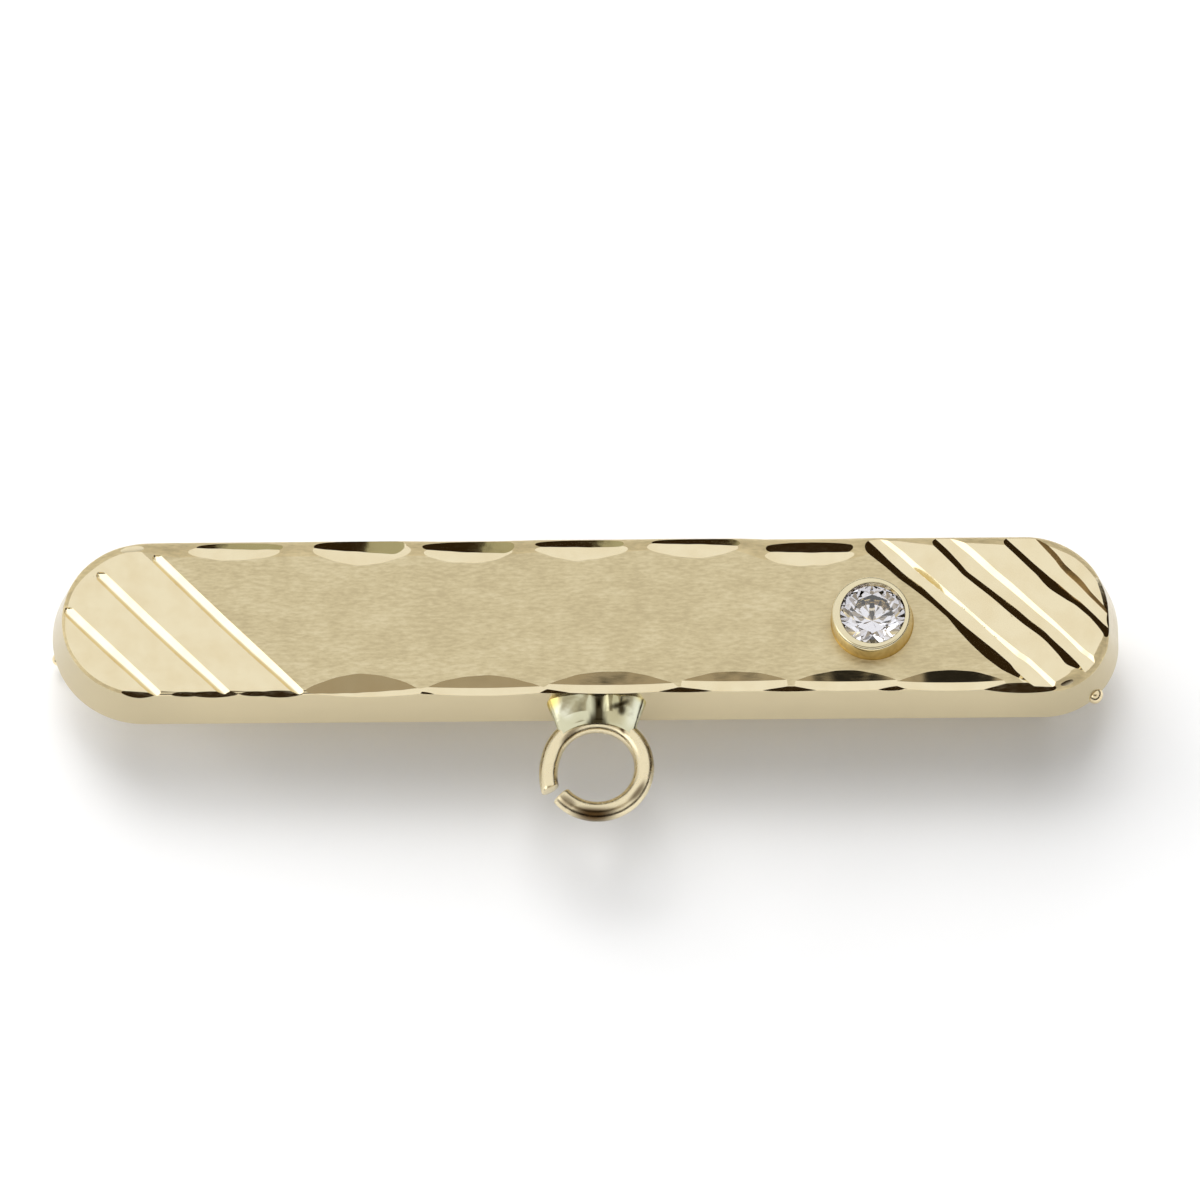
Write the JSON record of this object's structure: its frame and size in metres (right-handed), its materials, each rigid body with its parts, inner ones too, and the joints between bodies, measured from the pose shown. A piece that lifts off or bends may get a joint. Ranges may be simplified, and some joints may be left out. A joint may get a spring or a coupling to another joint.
{
  "type": "baby pin",
  "caption": "Oblong gold bar brooch with a satin face, bright-cut grooves and scalloped edges, a bezel-set round clear stone, a small open ring at the front edge and a pin at the back.",
  "frame": {"origin": "middle of the bar's flat back", "axes": "+X along the bar towards the stone, +Y towards the edge without the ring, +Z out of the face"},
  "size_m": [0.0321, 0.0091, 0.0043],
  "materials": {
    "gold": "pale 14-carat yellow gold, polished, with a satin-grained middle of the face",
    "clear_stone": "clear faceted round brilliant, polished"
  },
  "bodies": {
    "root": {"bar": "gold", "stone": "clear_stone", "pin_clasp": "gold"}
  },
  "joints": []
}
